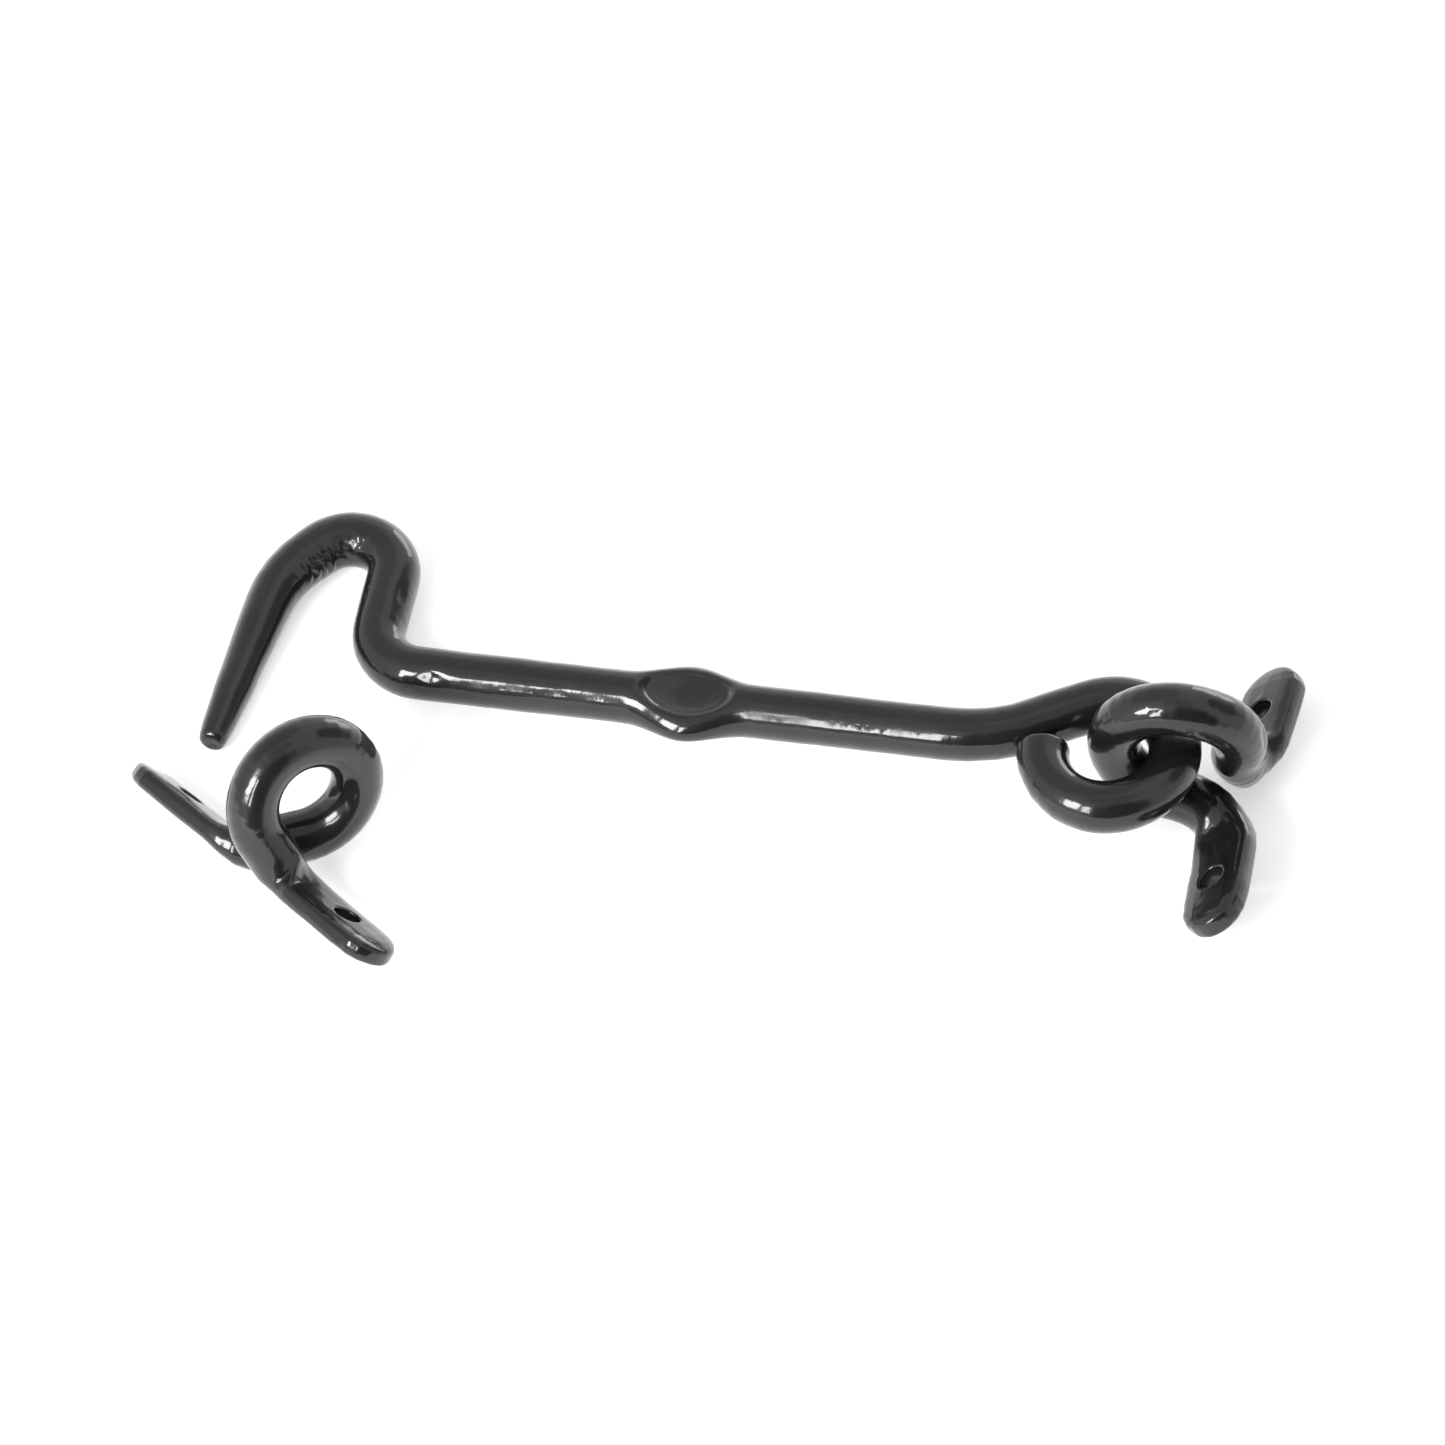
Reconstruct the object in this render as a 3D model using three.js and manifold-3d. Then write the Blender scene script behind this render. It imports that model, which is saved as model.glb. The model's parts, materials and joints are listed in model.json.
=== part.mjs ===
// A hand-forged cabin hook with its two staples, each bent from one round bar.
// hook_arm: an eye at one end, a thumb dent in the middle, a swan neck and a tapered hook at the other end.
// pivot_staple: two drilled tabs with a full turn of bar between them, chained through the eye of the arm.
// keeper_staple: the same forging, lying apart; the hook drops into its ring.
// Millimetres, +Z up. The set lies on a table at z = 0, with its bounding box centred over the origin.

import * as THREE from "three";
import { mergeVertices } from "three/addons/utils/BufferGeometryUtils.js";
import Module from "manifold-3d";

const wasm = await Module();
wasm.setup();

// ---- Driving dimensions ----

const DEGREE = Math.PI / 180;
const BAR = 5.4; // radius of the round bar, with its paint
const CORNERS = 20; // of a section through the bar
const BEND_STEP = 10 * DEGREE; // largest turn between two sections
const LEFTOVER = 0.01; // the largest step that may be evened out after cutting
const PAINT = { color: 0x1b1a19, roughness: 0.22, metalness: 0 };

// The arm's own frame: the origin is in the eye, the shank runs towards -x and the hook opens to -y.
const EYE = {
  halfLength: 13.2, // of the bar's centreline, which is a little wider than it is long
  halfWidth: 14,
  x: 0.3, // its middle
  y: -0.75,
  neckAngle: 120 * DEGREE, // where the shank runs into the eye
  endAngle: -176 * DEGREE, // where the bar would end, if the neck weren't in its way
  rise: 1.6, // of the free end, out of the plane of the arm
  endGap: 0.4, // between the free end and the neck it butts against
};
const NECK = { x: -23.5, y: 0.3, radius: 34 };
const SWAN_BENDS = [
  { x: -151.8, y: 0.3, radius: 10 },
  { x: -151.8, y: 47.3, radius: 9 },
  { x: -174.4, y: 21.1, radius: 26 },
];
const TIP = { x: -179.3, y: -23.4, radius: 2.8, chamfer: 0.8 };
const TAPER = { length: 50, power: 0.75 }; // how the leg of the hook thins towards the tip
const CROWN = { x: -163, y: 32, reach: 14, spread: 0.35 }; // the bar is beaten a little wider over the crown

const DENT = {
  x: -86.3, // its centre along the shank
  halfLength: 9.2, // of the dish, where it breaks the surface
  halfWidth: 7.5,
  depth: 2.3, // below the flattened top of the bar
  reach: 13, // half the length of bar that the hammer spreads
  spread: 3.7, // added to the bar's half width
  flattening: 0.9, // taken off its half thickness
  steps: 20,
};

// A staple's own frame: x along the line of the tabs, z out of the wall, and the wall at z = 0.
const TAB = {
  reach: 36.3, // from the middle of the staple to the tip
  halfWidth: 7.2,
  squareness: 3.6,
  flattenFrom: 9, // before the straight part, where the hammer begins to flatten the bar
  flattenLength: 10,
  backCut: 0.35, // taken off the wall side to leave it flat
  tipTurns: [0.08, 0.3, 0.6, 0.95, 1.3], // round the half circle of the tip
  tipThickness: 0.55, // share of the thickness left at the very tip
  steps: 7,
};
const KINK = { handle: 0.42, steps: 7 };
const SCREW_HOLE = { radius: 2.9, fromTip: 13, corners: 24 };

// How the arm lies: its hook end on the table, its eye end raised on the ring of the pivot staple.
const ARM_PLACE = { x: 77.25, y: -23.05, heading: -12.18 * DEGREE, roll: 4.38 * DEGREE, lean: -2 * DEGREE };

// How each staple was bent by hand, and how it lies on the table.
const PIVOT = {
  ring: { radius: 12.5, pitch: 10, lift: 4.2 }, // of the centreline; the lift is off the wall
  swing: -6 * DEGREE, // of the ring about the wall's normal
  tilt: 9.8 * DEGREE, // of the ring about the line across the tabs
  shift: -2.1, // of the ring across the tabs
  kinkAngle: 32 * DEGREE, // of the turn, taken up by each kink
  tabStarts: [15.5, 13], // where the straight part of each tab begins
  tabTurns: [0, 8 * DEGREE], // of each tab, in the plane of the wall
  tabLeans: [0, 0], // of each tab about its lower edge, out of the wall's plane
  tabHalfThickness: 2.9,
  place: { x: 104.9, y: -27.2, heading: -103.3 * DEGREE, roll: 2.1 * DEGREE, lean: -36.8 * DEGREE },
};
const KEEPER = {
  ring: { radius: 12.2, pitch: 10.2, lift: 1 },
  swing: -24.5 * DEGREE,
  tilt: -2 * DEGREE,
  shift: 1,
  kinkAngle: 28 * DEGREE,
  tabStarts: [12, 12],
  tabTurns: [4.6 * DEGREE, -0.7 * DEGREE],
  tabLeans: [15 * DEGREE, 0],
  tabHalfThickness: 2.5,
  place: { x: -92.4, y: -44.6, heading: -48.5 * DEGREE, roll: 2.6 * DEGREE, lean: 38 * DEGREE },
};

// ---- Bars swept through stations ----

const smooth = (share) => THREE.MathUtils.smoothstep(share, 0, 1);

// One corner of a superellipse, as shares of its half width and half thickness. A squareness of 2 is an ellipse.
function sectionCorner(turn, squareness) {
  const squared = (v) => Math.sign(v) * Math.abs(v) ** (2 / squareness);
  return [squared(Math.cos(turn)), squared(Math.sin(turn))];
}

// A closed bar through a row of stations, each { centre, up, halfWidth, halfThickness, squareness }. The
// thickness is measured along up. Given a first and a last station, it is only the bar between those two.
function forgedBar(stations, first = 0, last = stations.length - 1) {
  const positions = [];
  const faces = [];
  const count = last - first;
  for (let i = first; i <= last; i++) {
    const station = stations[i];
    const next = stations[Math.min(i + 1, stations.length - 1)].centre;
    const previous = stations[Math.max(i - 1, 0)].centre;
    const along = new THREE.Vector3().subVectors(next, previous).normalize();
    const across = new THREE.Vector3().crossVectors(station.up, along).normalize();
    const up = new THREE.Vector3().crossVectors(along, across);
    for (let k = 0; k < CORNERS; k++) {
      const [width, thickness] = sectionCorner((2 * Math.PI * k) / CORNERS, station.squareness);
      const corner = station.centre.clone();
      corner.addScaledVector(across, width * station.halfWidth);
      corner.addScaledVector(up, thickness * station.halfThickness);
      positions.push(...corner);
    }
  }
  for (let i = 0; i < count; i++) {
    for (let k = 0; k < CORNERS; k++) {
      const a = i * CORNERS + k;
      const b = i * CORNERS + ((k + 1) % CORNERS);
      faces.push(a, b, b + CORNERS, a, b + CORNERS, a + CORNERS);
    }
  }
  for (const end of [0, count]) {
    const hub = positions.length / 3;
    positions.push(...stations[first + end].centre);
    for (let k = 0; k < CORNERS; k++) {
      const a = end * CORNERS + k;
      const b = end * CORNERS + ((k + 1) % CORNERS);
      faces.push(...(end === 0 ? [hub, b, a] : [hub, a, b]));
    }
  }
  const geometry = new THREE.BufferGeometry();
  geometry.setAttribute("position", new THREE.Float32BufferAttribute(positions, 3));
  geometry.setIndex(faces);
  return geometry;
}

function toSolid(geometry) {
  const bare = geometry.clone();
  bare.deleteAttribute("normal");
  bare.deleteAttribute("uv");
  const merged = mergeVertices(bare);
  const vertProperties = merged.attributes.position.array;
  const triVerts = new Uint32Array(merged.index.array);
  return new wasm.Manifold(new wasm.Mesh({ numProp: 3, vertProperties, triVerts }));
}

function toGeometry(solid) {
  const { vertProperties, triVerts } = solid.asOriginal().simplify(LEFTOVER).getMesh();
  const geometry = new THREE.BufferGeometry();
  geometry.setAttribute("position", new THREE.BufferAttribute(vertProperties, 3));
  geometry.setIndex(new THREE.BufferAttribute(triVerts, 1));
  geometry.computeVertexNormals();
  return geometry;
}

// ---- Hook arm ----

// Points round the bend at a corner between two straight runs, in the plane of the arm.
function bendPoints(before, corner, after) {
  const apex = new THREE.Vector2(corner.x, corner.y);
  const back = new THREE.Vector2(before.x, before.y).sub(apex).normalize();
  const on = new THREE.Vector2(after.x, after.y).sub(apex).normalize();
  const half = Math.acos(back.dot(on)) / 2;
  const inward = back.clone().add(on);
  const centre = apex.clone().add(inward.setLength(corner.radius / Math.sin(half)));
  const start = apex.clone().addScaledVector(back, corner.radius / Math.tan(half));
  const turn = (2 * half - Math.PI) * Math.sign(back.cross(on));
  const steps = Math.ceil(Math.abs(turn) / BEND_STEP);
  return Array.from({ length: steps + 1 }, (_, i) => start.clone().rotateAround(centre, (turn * i) / steps));
}

function eyePoints() {
  const turn = EYE.neckAngle - EYE.endAngle;
  const steps = Math.ceil(turn / BEND_STEP);
  return Array.from({ length: steps + 1 }, (_, i) => {
    const angle = EYE.endAngle + (turn * i) / steps;
    const x = EYE.x + EYE.halfLength * Math.cos(angle);
    const y = EYE.y + EYE.halfWidth * Math.sin(angle);
    return new THREE.Vector3(x, y, EYE.rise * (1 - smooth(i / steps)));
  });
}

// The centreline of the arm, from the free end of the eye to the tip of the hook.
function armCentreline() {
  const flat = (p) => new THREE.Vector3(p.x, p.y, 0);
  const eye = eyePoints();
  const corners = [eye.at(-1), NECK, ...SWAN_BENDS, TIP];
  const bends = SWAN_BENDS.map((bend, i) => bendPoints(corners[i + 1], bend, corners[i + 3]));
  const shank = Array.from({ length: DENT.steps + 1 }, (_, i) => {
    const x = DENT.x + DENT.reach * (1 - (2 * i) / DENT.steps);
    return new THREE.Vector3(x, NECK.y, 0);
  });
  const legStart = bends.at(-1).at(-1);
  const leg = [0.2, 0.4, 0.6, 0.75, 0.87].map((share) => legStart.clone().lerp(TIP, share));
  return [
    ...eye,
    ...bendPoints(eye.at(-1), NECK, SWAN_BENDS[0]).slice(1).map(flat),
    ...shank,
    ...bends.flat().map(flat),
    ...leg.map(flat),
  ];
}

// The half width and half thickness of the arm at a station, given the length of bar left to the tip.
function armSection(centre, toTip) {
  const taper = TIP.radius + (BAR - TIP.radius) * Math.min(1, toTip / TAPER.length) ** TAPER.power;
  const crown = 1 - smooth(Math.hypot(centre.x - CROWN.x, centre.y - CROWN.y) / CROWN.reach);
  const dent = 1 - smooth(Math.abs(centre.x - DENT.x) / DENT.reach);
  return {
    halfWidth: taper + CROWN.spread * crown + DENT.spread * dent,
    halfThickness: taper - DENT.flattening * dent,
  };
}

// The dish that a thumb presses into: a flattened ball, sunk into the top of the shank.
function dentTool() {
  const top = BAR - DENT.flattening;
  const ball = new THREE.SphereGeometry(1, 32, 20);
  const sink = 0.55; // how far up the ball the surface cuts it, as a share of its half height
  const spread = 1 / Math.sqrt(1 - sink ** 2);
  const halfHeight = DENT.depth / (1 - sink);
  ball.scale(DENT.halfLength * spread, DENT.halfWidth * spread, halfHeight);
  ball.translate(DENT.x, NECK.y, top + sink * halfHeight);
  return toSolid(ball);
}

// The stations of the arm, from the free end of the eye to the blunt tip of the hook.
function armStations() {
  const centres = armCentreline();
  const tip = new THREE.Vector3(TIP.x, TIP.y, 0);
  const up = new THREE.Vector3(0, 0, 1);
  const stations = [];
  let toTip = 0;
  for (let i = centres.length - 1; i >= 0; i--) {
    toTip += centres[i].distanceTo(centres[i + 1] ?? tip);
    stations.unshift({ centre: centres[i], up, squareness: 2, ...armSection(centres[i], toTip) });
  }
  const along = tip.clone().sub(centres.at(-1)).normalize();
  const atTip = (back, radius) => {
    const centre = tip.clone().addScaledVector(along, -back);
    return { centre, up, squareness: 2, halfWidth: radius, halfThickness: radius };
  };
  return [...stations, atTip(TIP.chamfer, TIP.radius), atTip(0, TIP.radius - TIP.chamfer)];
}

// The arm is two bars that meet halfway round the eye, so that the free end can be cut off at the neck.
function hookArm() {
  const stations = armStations();
  const eyeEnd = eyePoints().length;
  const halfway = Math.floor(eyeEnd / 2);
  const rest = toSolid(forgedBar(stations, halfway));
  const freeEnd = toSolid(forgedBar(stations, 0, halfway));
  const neck = stations.slice(eyeEnd - 6, eyeEnd + 8).map((station) => {
    const radius = BAR + EYE.endGap;
    return { ...station, halfWidth: radius, halfThickness: radius };
  });
  const butted = freeEnd.subtract(toSolid(forgedBar(neck)));
  return toGeometry(rest.add(butted).subtract(dentTool()));
}

// ---- Staples ----

// Stations round the ring: one turn of a helix whose axis runs along the tabs, less what the kinks take up.
function ringStations(bend) {
  const { radius, pitch, lift } = bend.ring;
  const turn = 2 * Math.PI - 2 * bend.kinkAngle;
  const steps = Math.ceil(turn / BEND_STEP);
  const pose = new THREE.Matrix4().makeRotationZ(bend.swing);
  pose.multiply(new THREE.Matrix4().makeRotationY(bend.tilt));
  pose.setPosition(0, bend.shift, radius + BAR + lift);
  return Array.from({ length: steps + 1 }, (_, i) => {
    const angle = bend.kinkAngle + (turn * i) / steps;
    const x = pitch * (angle / (2 * Math.PI) - 0.5);
    const outward = new THREE.Vector3(0, Math.sin(angle), -Math.cos(angle));
    const centre = outward.clone().multiplyScalar(radius).setX(x).applyMatrix4(pose);
    const up = outward.negate().transformDirection(pose);
    return { centre, up, squareness: 2, halfWidth: BAR, halfThickness: BAR };
  });
}

// The section of a tab, given how far it is past the start of the straight part (negative in the kink).
function tabSection(past, bend) {
  const flat = smooth((past + TAB.flattenFrom) / TAB.flattenLength);
  return {
    squareness: THREE.MathUtils.lerp(2, TAB.squareness, flat),
    halfWidth: THREE.MathUtils.lerp(BAR, TAB.halfWidth, flat),
    halfThickness: THREE.MathUtils.lerp(BAR, bend.tabHalfThickness, flat),
  };
}

// How one tab was bent. side is -1 or 1.
function tabBend(side, bend) {
  const index = side < 0 ? 0 : 1;
  return { start: bend.tabStarts[index], turn: bend.tabTurns[index], lean: bend.tabLeans[index] };
}

// Where one tab lies: x runs from the start of its straight part to its tip, and z is up from its back.
function tabPose(side, bend) {
  const { start, turn, lean } = tabBend(side, bend);
  const pose = new THREE.Matrix4().makeTranslation(side * start, 0, -TAB.halfWidth * Math.sin(lean));
  pose.multiply(new THREE.Matrix4().makeRotationX(-lean));
  return pose.multiply(new THREE.Matrix4().makeRotationZ(side < 0 ? turn + Math.PI : turn));
}

// Stations of one tab, from its rounded tip to the start of the kink.
function tabStations(side, bend) {
  const pose = tabPose(side, bend);
  const up = new THREE.Vector3(0, 0, 1).transformDirection(pose);
  const straight = TAB.reach - tabBend(side, bend).start;
  const at = (past, tipWidth, tipThickness) => {
    const section = tabSection(past, bend);
    const centre = new THREE.Vector3(past, 0, section.halfThickness).applyMatrix4(pose);
    section.halfWidth *= tipWidth;
    section.halfThickness *= tipThickness;
    return { centre, up, ...section };
  };
  const tip = TAB.tipTurns.map((turn) => {
    const past = straight - TAB.halfWidth * (1 - Math.cos(turn));
    return at(past, Math.sin(turn), THREE.MathUtils.lerp(TAB.tipThickness, 1, Math.sin(turn)));
  });
  const body = Array.from({ length: TAB.steps }, (_, i) => {
    return at(((straight - TAB.halfWidth) * (TAB.steps - 1 - i)) / TAB.steps, 1, 1);
  });
  return [...tip, ...body];
}

// Stations round the kink between the start of a tab and the end of the ring next to it, both left out.
function kinkStations(tab, ringEnd, ringNext, bend) {
  const [beforeStart, tabStart] = tab.slice(-2);
  const inward = new THREE.Vector3().subVectors(tabStart.centre, beforeStart.centre).setZ(0).normalize();
  const outward = new THREE.Vector3().subVectors(ringEnd.centre, ringNext.centre).normalize();
  const handle = KINK.handle * tabStart.centre.distanceTo(ringEnd.centre);
  const curve = new THREE.CubicBezierCurve3(
    tabStart.centre,
    tabStart.centre.clone().addScaledVector(inward, handle),
    ringEnd.centre.clone().addScaledVector(outward, handle),
    ringEnd.centre,
  );
  const length = curve.getLength();
  return Array.from({ length: KINK.steps - 1 }, (_, i) => {
    const share = (i + 1) / KINK.steps;
    const up = tabStart.up.clone().lerp(ringEnd.up, smooth(share)).normalize();
    return { centre: curve.getPointAt(share), up, ...tabSection(-share * length, bend) };
  });
}

// What is cut from one tab: its screw hole, and enough off its back to leave it flat. The back of a tab that
// doesn't lean is in line with its kink, which is cut off level with it.
function tabTool(side, bend) {
  const { radius, corners, fromTip } = SCREW_HOLE;
  const { start, lean } = tabBend(side, bend);
  const pose = tabPose(side, bend);
  const drill = new THREE.CylinderGeometry(radius, radius, 6 * BAR, corners);
  drill.rotateX(Math.PI / 2);
  drill.translate(TAB.reach - start - fromTip, 0, 0);
  const inward = lean === 0 ? start : 0;
  const board = new THREE.BoxGeometry(TAB.reach + inward, TAB.reach, 2 * BAR);
  board.translate((TAB.reach - inward) / 2, 0, TAB.backCut - BAR);
  return toSolid(drill.applyMatrix4(pose)).add(toSolid(board.applyMatrix4(pose)));
}

function staple(bend) {
  const ring = ringStations(bend);
  const first = tabStations(-1, bend);
  const second = tabStations(1, bend);
  const bar = forgedBar([
    ...first,
    ...kinkStations(first, ring[0], ring[1], bend),
    ...ring,
    ...kinkStations(second, ring.at(-1), ring.at(-2), bend).reverse(),
    ...second.reverse(),
  ]);
  const tools = tabTool(-1, bend).add(tabTool(1, bend));
  return toGeometry(toSolid(bar).subtract(tools)).translate(0, 0, -TAB.backCut);
}

// ---- The set ----

function blackPainted(name, geometry) {
  const mesh = new THREE.Mesh(geometry, new THREE.MeshStandardMaterial(PAINT));
  mesh.name = name;
  return mesh;
}

// Lays a mesh down: lean about its own x, then roll about y, then heading about z, then down onto z = 0.
function layDown(mesh, { x, y, heading, roll, lean }) {
  mesh.rotation.set(-lean, -roll, heading, "ZYX");
  mesh.position.set(x, y, 0);
  mesh.position.z = -new THREE.Box3().setFromObject(mesh, true).min.z;
  return mesh;
}

const set = new THREE.Group();
set.add(layDown(blackPainted("hook_arm", hookArm()), ARM_PLACE));
set.add(layDown(blackPainted("pivot_staple", staple(PIVOT)), PIVOT.place));
set.add(layDown(blackPainted("keeper_staple", staple(KEEPER)), KEEPER.place));

// Centre the set's box over the origin.
const middle = new THREE.Box3().setFromObject(set, true).getCenter(new THREE.Vector3());
set.position.set(-middle.x, -middle.y, 0);

export default set;
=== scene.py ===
"""Looks of a hand-forged cabin hook set: glossy black paint over hammered round bar, on a white table.

Each CAD node is replaced by a finely meshed skin of the same shape, which takes the hammer marks, creases
and dents as real geometry. Lengths are in millimetres up to the point where a mesh is written, and those of
the table, the lights and the camera are in metres.
"""

import json
import math

import bmesh
import bpy
import numpy as np
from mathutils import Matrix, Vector, noise


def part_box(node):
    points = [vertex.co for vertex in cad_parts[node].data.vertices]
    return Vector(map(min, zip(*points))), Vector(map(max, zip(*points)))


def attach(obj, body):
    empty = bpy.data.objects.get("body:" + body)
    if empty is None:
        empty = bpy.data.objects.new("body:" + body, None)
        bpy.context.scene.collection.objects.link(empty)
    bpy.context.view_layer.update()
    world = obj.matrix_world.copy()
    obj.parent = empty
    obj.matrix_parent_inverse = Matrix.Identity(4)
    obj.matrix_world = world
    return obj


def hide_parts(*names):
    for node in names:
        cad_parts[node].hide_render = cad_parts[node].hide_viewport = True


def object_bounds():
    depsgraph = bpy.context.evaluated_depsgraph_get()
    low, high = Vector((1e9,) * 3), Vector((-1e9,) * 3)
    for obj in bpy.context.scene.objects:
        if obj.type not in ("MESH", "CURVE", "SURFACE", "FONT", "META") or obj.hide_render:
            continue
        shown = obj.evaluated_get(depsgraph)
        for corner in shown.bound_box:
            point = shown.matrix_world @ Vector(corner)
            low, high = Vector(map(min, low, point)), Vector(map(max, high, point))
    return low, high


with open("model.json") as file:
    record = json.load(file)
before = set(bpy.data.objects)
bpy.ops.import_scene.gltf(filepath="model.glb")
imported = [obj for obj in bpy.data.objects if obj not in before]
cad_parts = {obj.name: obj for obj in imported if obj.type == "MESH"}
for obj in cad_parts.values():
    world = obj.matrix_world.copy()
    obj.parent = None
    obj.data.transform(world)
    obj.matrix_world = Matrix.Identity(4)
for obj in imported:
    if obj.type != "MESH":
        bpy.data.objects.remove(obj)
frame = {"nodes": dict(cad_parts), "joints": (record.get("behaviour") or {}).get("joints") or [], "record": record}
cad_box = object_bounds()

MM = 0.001

# ---- How fine the skins are ----

ARM_MESH = 0.38  # size of a face; the arm is the longest piece, so its faces are a little larger
STAPLE_MESH = 0.28
ROUNDS = 25  # of evening out, enough to lose the facets of the CAD

# ---- Places on the pieces, in each piece's own frame ----

SHANK_HEADING = math.radians(-12.18)  # of the shank as it lies on the table, from +X
THUMB_DENT = (-87.2, 0.9, 2.5)  # its middle
DENT_RIM = (8.3, 4.7)  # how far its rim is from the middle, along and across the shank
RIM_GROOVE = (0.06, 0.14)  # round the dent: its width, as a share of the way to the rim, and its depth
DENT_UNEVENNESS = (0.18, 5, 18)  # height, size and seed of the bumps in its hollow
CROWN_INSIDE = (-157, 18)  # a point inside the crown of the hook that its wrinkles point to
WRINKLED = ((-166.0, 23.0, 2.2), (4.2, 3.6, 3.2))  # the middle and the reach of the wrinkles
WRINKLE_DEPTH = 0.5
WRINKLES_PER_RADIAN = 34  # as the phase of a sine
SCREW_HOLE_AT = 23.3  # from the middle of a staple
TAB_ROOT = 14  # from the middle of a staple; the tab is at its crispest a little further out
TAB_FADE = 6

# ---- The marks of the forging, in each piece's own frame ----

HAMMERING = [(0.12, 13), (0.05, 5), (0.012, 1.6)]  # (height, size) of the unevenness that every bar has

# Dimples are (middle, reach, depth), and a negative depth is a swelling.
# Rough patches are (middle, reach, height, size of a bump, seed).
ARM_DIMPLES = [
    ((-138.6, -3.0, 3.4), (2.2, 1.1, 1.5), 0.35),  # beside the swan neck
    ((-143.5, -0.5, 4.0), (2.0, 1.0, 1.5), 0.15),
    ((-149.3, 17.2, 4.1), (0.9, 2.2, 1.6), 0.3),  # on the riser
    ((-179.9, -24.6, 0), 1.4, 0.45),  # in the blunt end of the hook
    ((-15.4, -10.2, 0), 3.3, 0.35),  # flats round the outside of the eye
    ((-11.6, -14.8, 0), 3.3, 0.35),
    ((-6.0, -17.9, 0), 3.3, 0.25),
]
ARM_ROUGH = [
    ((-160.6, 28.6, 4), (3.2, 2.2, 2.5), 0.3, 1.3, 12),  # inside the top of the crown
    ((-147.8, 10, 2.6), 4, 0.1, 2.2, 13),  # the foot of the riser
    ((-176, -8, 0), (7, 16, 7), 0.16, 7, 14),  # the leg of the hook
    ((-179.9, -24, 0), 3, 0.3, 1.5, 15),  # its blunt end
    ((-150, 14, 3), (5, 9, 5), 0.05, 1.2, 16),  # fine pits on the riser
]
PIVOT_DIMPLES = [
    ((5.8, 7.4, 28.1), (1.2, 0.8, 0.6), 0.25),  # a nick on the ring
    ((-2.6, 13.0, 14.6), (1.0, 2.2, 3.0), 0.4),  # the crease where the upper tab was folded
    ((18.0, -6.8, 2.2), (2.6, 2.0, 2.6), 0.35),  # hammered edges of the lower tab
    ((26.0, -7.2, 2.2), (3.0, 2.0, 2.6), 0.25),
    ((30.5, 8.6, 2.2), (3.0, 2.0, 2.6), 0.3),
]
PIVOT_ROUGH = [((-25, 0, 2), (12, 9, 4), 0.1, 3.5, 21)]  # the upper tab
KEEPER_DIMPLES = [
    ((9.6, -4.4, 6.6), (0.9, 2.8, 2.4), 0.4),  # the fold where the ring meets the second tab
    ((8.2, -5.4, 5.4), (0.9, 2.4, 2.2), -0.25),
    ((4.4, 7.4, 33.8), (3.4, 3.4, 3.0), 0.4),  # a flat on the ring
    ((29.0, -7.2, 2.6), (1.6, 1.4, 1.4), 0.2),  # on the edge of the second tab
]
KEEPER_ROUGH = [((-28, 6.8, 2.6), (7, 1.8, 2.4), 0.3, 1.8, 31)]  # burrs along the first tab

# ---- The paint and the table ----

COAL = (0.0050, 0.0048, 0.0046)
BROWNISH = (0.0085, 0.0074, 0.0066)
GLOSSY = 0.07  # roughness of the paint where it flowed out
DULLER = 0.2
TABLE_GREYS = (0.88, 0.92)
TABLE_HALF = 3.0

# ---- The light and the camera ----

TENT = 1.0  # radiance of the white tent
OPENINGS = [  # (azimuth, elevation, reach, share of the light left), in degrees
    (10, 22, 33, 0.08),  # the camera and the photographer
    (106, 32, 20, 0.3),  # a gap on the right
    (0, 72, 18, 0.65),  # the top of the tent
    (-140, 50, 30, 0.65),  # its far left
]
OPENING_EDGE = 0.25  # of the reach, to each side, over which an opening fades
SOFTBOXES = [  # (name, azimuth, elevation, distance, width, height, radiance)
    ("key", -44, 33, 1.0, 0.28, 0.46, 22),
    ("side", -23, 29, 1.0, 0.1, 0.45, 20),
    ("rim", 150, 10, 1.2, 0.6, 0.4, 3),
]
PICTURE_WIDTH = 289 * MM
AIM = Vector((0.81, 12.19, 0.0)) * MM
ELEVATION = math.radians(50)  # of the camera over the table
CAMERA_DISTANCE = 2.0

record = frame["record"]
joints = {joint["name"]: joint for joint in frame["joints"]}
mounts = {mount["name"]: mount for mount in record["mounts"]}


# ---- Frames of the pieces: each is a function from world millimetres to the piece's own millimetres ----


def own_frame(origin, along, up):
    """A piece's own frame: x along the bar, z up. Returns a function that maps points into it."""
    z = np.array(up, float) / np.linalg.norm(up)
    x = np.array(along, float) - np.dot(along, z) * z
    x /= np.linalg.norm(x)
    axes = np.stack([x, np.cross(z, x), z])
    return lambda points: (np.asarray(points, float) - origin) @ axes.T


def arm_frame():
    """Origin on the hinge in the eye, x towards the eye from the hook, z out of the arm's plane."""
    swing = joints["arm_swing"]
    along = (math.cos(SHANK_HEADING), math.sin(SHANK_HEADING), 0)
    return own_frame(np.array(swing["pos_m"]) / MM, along, -np.array(swing["axis"]))


def staple_frame(first, second):
    """Origin on the wall midway between the tabs, x towards the second tab, z out of the second's wall."""
    ends = [np.array(mounts[name]["pos_m"]) / MM for name in (first, second)]
    return own_frame((ends[0] + ends[1]) / 2, ends[1] - ends[0], -np.array(mounts[second]["axis"]))


# ---- Skins ----


def placed(name, data):
    """A new object in the scene that shows the data."""
    thing = bpy.data.objects.new(name, data)
    bpy.context.scene.collection.objects.link(thing)
    return thing


def volume(mesh):
    """The volume inside a closed mesh, in cubic millimetres."""
    solid = bmesh.new()
    solid.from_mesh(mesh)
    inside = solid.calc_volume()
    solid.free()
    return inside / MM**3


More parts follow.
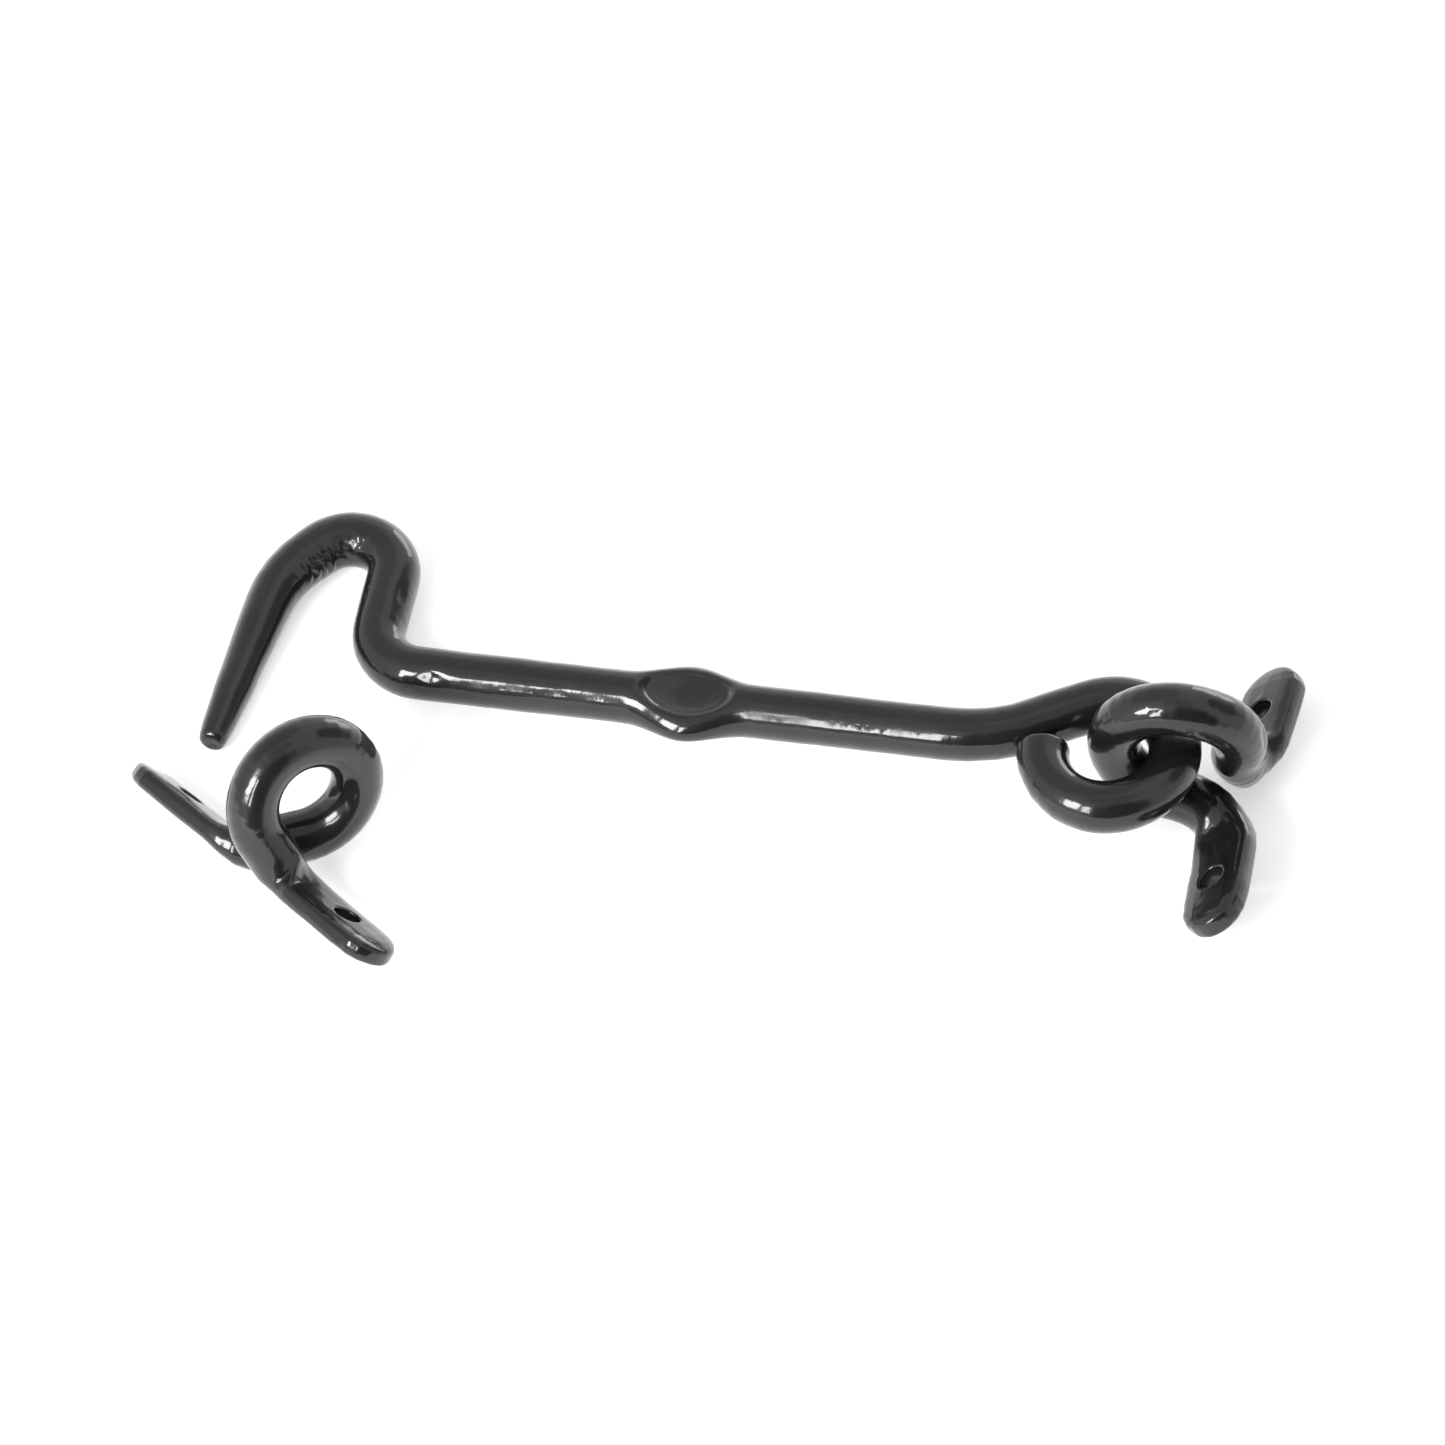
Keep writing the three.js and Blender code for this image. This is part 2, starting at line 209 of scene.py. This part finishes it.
class Skin:
    """The fine mesh of one piece, with its vertices held as an array of millimetres."""

    def __init__(self, node, to_own, face_size):
        self.node = node
        self.to_own = to_own
        cad = frame["nodes"][node].data
        self.cad_volume = volume(cad)
        self.piece = placed(node + "_skin", cad.copy())
        remesh = self.piece.modifiers.new("fine", "REMESH")
        remesh.mode = "VOXEL"
        remesh.voxel_size = face_size * MM
        evaluated = self.piece.evaluated_get(bpy.context.evaluated_depsgraph_get())
        self.mesh = bpy.data.meshes.new_from_object(evaluated)
        self.piece.modifiers.clear()
        self.piece.data = self.mesh
        self.mesh.name = node + "_skin"
        flat = np.empty(3 * len(self.mesh.vertices))
        self.mesh.vertices.foreach_get("co", flat)
        self.points = flat.reshape(-1, 3) / MM
        edges = np.empty(2 * len(self.mesh.edges), int)
        self.mesh.edges.foreach_get("vertices", edges)
        self.edges = edges.reshape(-1, 2)
        self.degree = np.bincount(self.edges.ravel(), minlength=len(self.points))[:, None]

    def own(self):
        """The vertices in the piece's own frame."""
        return self.to_own(self.points)

    def neighbour_mean(self, values):
        """For each vertex, the mean of a value over the vertices it shares an edge with."""
        a, b = self.edges.T
        total = np.stack(
            [
                np.bincount(a, column[b], len(values)) + np.bincount(b, column[a], len(values))
                for column in values.T
            ],
            axis=1,
        )
        return total / self.degree

    def relaxed(self, values, share):
        """A value evened out over the surface by its vertices' own shares of the neighbours' mean."""
        for _ in range(ROUNDS):
            values = values + share * (self.neighbour_mean(values) - values)
        return values

    def round_off(self, crisp):
        """Takes the facets off, less so where crisp nears 1, and puts back what evening out shrinks."""
        share = 0.5 * (1 - crisp)[:, None]
        smooth = self.relaxed(self.points, share)
        self.points = smooth + self.relaxed(self.points - smooth, share)

    def write(self):
        """Stores the vertices in the mesh."""
        self.mesh.vertices.foreach_set("co", (self.points * MM).astype(np.float32).ravel())
        self.mesh.update()

    def normals(self):
        """Outward unit normals of the vertices as they are now."""
        self.write()
        flat = np.empty(3 * len(self.points))
        self.mesh.vertices.foreach_get("normal", flat)
        return flat.reshape(-1, 3)

    def push(self, height):
        """Moves each vertex out along its normal by a length in millimetres."""
        self.points = self.points + self.normals() * height[:, None]

    def regain(self):
        """Pushes the surface out until the piece has the volume of its CAD node again."""
        self.write()
        area = sum(polygon.area for polygon in self.mesh.polygons) / MM**2
        lost = self.cad_volume - volume(self.mesh)
        self.push(np.full(len(self.points), lost / area))

    def keep_in_box(self):
        """Presses what stands out of the CAD node's box back to it."""
        low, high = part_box(self.node)
        self.points = np.clip(self.points, np.array(low) / MM, np.array(high) / MM)

    def finish(self, material):
        """Smooth shading, the material, and the body of the CAD node, which carries the piece."""
        self.keep_in_box()
        self.write()
        self.mesh.materials.clear()
        self.mesh.materials.append(material)
        self.mesh.polygons.foreach_set("use_smooth", [True] * len(self.mesh.polygons))
        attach(self.piece, self.node)
        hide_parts(self.node)


# ---- Marks: heights over the skin in millimetres, for points in the piece's own frame ----


def blot(points, middle, reach):
    """1 at the middle, fading to 0 over a reach. The reach is one length, or one for each axis."""
    distance = np.linalg.norm((points - np.array(middle, float)) / np.array(reach, float), axis=1)
    return np.exp(-(distance**2))


def bumps(points, size, seed):
    """Smooth random heights between about -1 and 1, with hills about one size across."""
    shift = Vector((17.3 * seed, -9.1 * seed, 4.7 * seed))
    return np.array([noise.noise(Vector(point) / size + shift) for point in points])


def dimpled(points, dimples):
    """The heights that a list of dimples gives."""
    return -sum(depth * blot(points, middle, reach) for middle, reach, depth in dimples)


def roughened(points, patches):
    """The heights that a list of rough patches gives."""
    return sum(
        height * bumps(points, size, seed) * blot(points, middle, reach)
        for middle, reach, height, size, seed in patches
    )


def hammered(points, seed):
    """What every bar has: broad hammer waves, and the finer unevenness that thick paint leaves."""
    return sum(height * bumps(points, size, seed + step) for step, (height, size) in enumerate(HAMMERING))


def wrinkles(points):
    """The wrinkles pressed up inside the crown of the hook: they wander, and some are deeper than others."""
    around = np.arctan2(points[:, 1] - CROWN_INSIDE[1], points[:, 0] - CROWN_INSIDE[0])
    waves = np.sin(WRINKLES_PER_RADIAN * around + 5 * bumps(points, 3, 11))
    return WRINKLE_DEPTH * waves * (0.6 + bumps(points, 2.4, 17)) * blot(points, *WRINKLED)


def dent_detail(points):
    """A groove round the rim of the thumb dent, and an uneven hollow inside it."""
    width, depth = RIM_GROOVE
    height, size, seed = DENT_UNEVENNESS
    share_out = np.linalg.norm((points - np.array(THUMB_DENT))[:, :2] / DENT_RIM, axis=1)
    groove = np.exp(-(((share_out - 1) / width) ** 2)) * (points[:, 2] > 0)
    hollow = bumps(points, size, seed) * np.clip(1 - share_out, 0, 1)
    return height * hollow - depth * groove


def arm_marks(points):
    """Dimples, the flats of the eye, the wrinkles of the crown and the detail of the thumb dent."""
    worn = dimpled(points, ARM_DIMPLES) + roughened(points, ARM_ROUGH)
    return worn + wrinkles(points) + dent_detail(points)


def pivot_marks(points):
    """A nick, a crease, and hammered tabs."""
    return dimpled(points, PIVOT_DIMPLES) + roughened(points, PIVOT_ROUGH)


def keeper_marks(points):
    """A fold, a flat, and burrs on a tab."""
    return dimpled(points, KEEPER_DIMPLES) + roughened(points, KEEPER_ROUGH)


def arm_crispness(points):
    """How much of its sharpness each vertex of the arm keeps: most in the thumb dent."""
    return 0.8 * blot(points, THUMB_DENT, (9.5, 6, 2.4))


def staple_crispness(points):
    """How much of its sharpness each vertex of a staple keeps: most at the rims of the screw holes."""
    tabs = np.clip((np.abs(points[:, 0]) - TAB_ROOT) / TAB_FADE, 0, 1)
    rims = blot(np.abs(points), (SCREW_HOLE_AT, 0, 2), (4.5, 4.5, 4))
    return 0.55 * tabs + 0.3 * rims


# ---- Materials ----


def fill(node, values):
    """Sets a node's inputs by name."""
    for name, value in values.items():
        node.inputs[name].default_value = value


def new_material(name):
    """An empty material, with its nodes, its links and its shader."""
    material = bpy.data.materials.new(name)
    material.use_nodes = True
    tree = material.node_tree
    return material, tree.nodes, tree.links, tree.nodes["Principled BSDF"]


def black_paint():
    """Thick black gloss brushed over forged steel: a faint brown cast, duller patches and orange peel."""
    material, nodes, links, shader = new_material("black_gloss_paint")
    place = nodes.new("ShaderNodeTexCoord").outputs["Object"]

    def noise_at(scale, detail):
        texture = nodes.new("ShaderNodeTexNoise")
        fill(texture, {"Scale": scale, "Detail": detail})
        links.new(place, texture.inputs["Vector"])
        return texture.outputs["Fac"]

    def ramp(source, stops):
        node = nodes.new("ShaderNodeValToRGB")
        links.new(source, node.inputs["Fac"])
        for element, (position, colour) in zip(node.color_ramp.elements, stops):
            element.position = position
            element.color = (*colour, 1)
        return node.outputs["Color"]

    def bump(height, strength, depth, under=None):
        node = nodes.new("ShaderNodeBump")
        fill(node, {"Strength": strength, "Distance": depth * MM})
        links.new(height, node.inputs["Height"])
        if under:
            links.new(under, node.inputs["Normal"])
        return node.outputs["Normal"]

    coat = {"Coat Weight": 1, "Coat IOR": 1.5}
    fill(shader, {"Roughness": 0.45, "Specular IOR Level": 0.1, **coat})
    tint = ramp(noise_at(110, 3), [(0.35, COAL), (0.65, BROWNISH)])
    links.new(tint, shader.inputs["Base Color"])
    gloss = ramp(noise_at(160, 4), [(0.4, (GLOSSY,) * 3), (0.75, (DULLER,) * 3)])
    links.new(gloss, shader.inputs["Coat Roughness"])
    peel = bump(noise_at(900, 2), 0.3, 0.05)
    dust = bump(noise_at(3500, 1), 0.2, 0.012, peel)
    links.new(dust, shader.inputs["Coat Normal"])
    links.new(dust, shader.inputs["Normal"])
    return material


def white_table():
    """A matt white sweep that glows a little, so that it stays white under the set."""
    material, nodes, links, shader = new_material("white_table")
    grain = nodes.new("ShaderNodeTexNoise")
    fill(grain, {"Scale": 60})
    tone = nodes.new("ShaderNodeValToRGB")
    for element, grey in zip(tone.color_ramp.elements, TABLE_GREYS):
        element.color = (grey, grey, grey, 1)
    links.new(grain.outputs["Fac"], tone.inputs["Fac"])
    links.new(tone.outputs["Color"], shader.inputs["Base Color"])
    glow = {"Emission Color": (1, 1, 1, 1), "Emission Strength": 0.42}
    fill(shader, {"Roughness": 0.8, "Specular IOR Level": 0.1, **glow})
    return material


# ---- The set ----


def forged_piece(node, to_own, face_size, crispness, marks, seed):
    """One piece of the set: a fine skin over its CAD node, evened out, then hammered and painted."""
    skin = Skin(node, to_own, face_size)
    skin.round_off(crispness(skin.own()))
    points = skin.own()
    skin.push(hammered(points, seed) + marks(points))
    skin.regain()
    skin.finish(paint)


paint = black_paint()
pivot_frame = staple_frame("pivot_back_upper", "pivot_back_lower")
keeper_frame = staple_frame("keeper_back_left", "keeper_back_right")
forged_piece("hook_arm", arm_frame(), ARM_MESH, arm_crispness, arm_marks, seed=1)
forged_piece("pivot_staple", pivot_frame, STAPLE_MESH, staple_crispness, pivot_marks, seed=4)
forged_piece("keeper_staple", keeper_frame, STAPLE_MESH, staple_crispness, keeper_marks, seed=7)


# ---- Table, light and camera ----


def towards(azimuth, elevation):
    """A unit vector. Azimuth 0 is the camera's side, and grows towards +X. Both are in degrees."""
    a, e = math.radians(azimuth), math.radians(elevation)
    return Vector((math.cos(e) * math.sin(a), -math.cos(e) * math.cos(a), math.sin(e)))


def table():
    """The table top, level with the lowest point of the set."""
    mesh = bpy.data.meshes.new("table")
    signs = ((-1, -1), (1, -1), (1, 1), (-1, 1))
    corners = [(x * TABLE_HALF, y * TABLE_HALF, cad_box[0].z) for x, y in signs]
    mesh.from_pydata(corners, [], [(0, 1, 2, 3)])
    mesh.materials.append(white_table())
    placed("table", mesh)


def softbox(name, azimuth, elevation, distance, width, height, radiance):
    """A rectangular area light that faces the set."""
    data = bpy.data.lights.new(name, "AREA")
    data.shape = "RECTANGLE"
    data.size = width
    data.size_y = height
    data.energy = radiance * math.pi * width * height
    lamp = placed(name, data)
    direction = towards(azimuth, elevation)
    lamp.location = distance * direction
    lamp.rotation_euler = direction.to_track_quat("Z", "Y").to_euler()


def light_tent():
    """White all round, with openings: each is a round patch of the tent that is dimmer than the rest."""
    world = bpy.data.worlds.new("tent")
    bpy.context.scene.world = world
    world.use_nodes = True
    nodes, links = world.node_tree.nodes, world.node_tree.links
    sight = nodes.new("ShaderNodeTexCoord").outputs["Generated"]
    background = nodes["Background"]
    fill(background, {"Color": (1, 1, 1, 1)})
    brightness = nodes.new("ShaderNodeValue").outputs["Value"]
    brightness.default_value = TENT
    for azimuth, elevation, reach, dimmed_to in OPENINGS:
        facing = nodes.new("ShaderNodeVectorMath")
        facing.operation = "DOT_PRODUCT"
        links.new(sight, facing.inputs[0])
        facing.inputs[1].default_value = towards(azimuth, elevation)
        shade = nodes.new("ShaderNodeMapRange")
        shade.interpolation_type = "SMOOTHSTEP"
        outer = math.cos(math.radians((1 + OPENING_EDGE) * reach))
        inner = math.cos(math.radians((1 - OPENING_EDGE) * reach))
        fill(shade, {"From Min": outer, "From Max": inner, "To Min": 1, "To Max": dimmed_to})
        links.new(facing.outputs["Value"], shade.inputs["Value"])
        product = nodes.new("ShaderNodeMath")
        product.operation = "MULTIPLY"
        links.new(brightness, product.inputs[0])
        links.new(shade.outputs["Result"], product.inputs[1])
        brightness = product.outputs["Value"]
    links.new(brightness, background.inputs["Strength"])


def camera():
    """Looks along +Y and down at the table, as flat as a long lens."""
    data = bpy.data.cameras.new("camera")
    data.type = "ORTHO"
    data.ortho_scale = PICTURE_WIDTH
    data.clip_end = 10
    eye = placed("camera", data)
    back = Vector((0, -math.cos(ELEVATION), math.sin(ELEVATION)))
    eye.location = AIM + CAMERA_DISTANCE * back
    eye.rotation_euler = (-back).to_track_quat("-Z", "Y").to_euler()
    bpy.context.scene.camera = eye


table()
light_tent()
for box in SOFTBOXES:
    softbox(*box)
camera()
bpy.context.scene.view_settings.view_transform = "Standard"
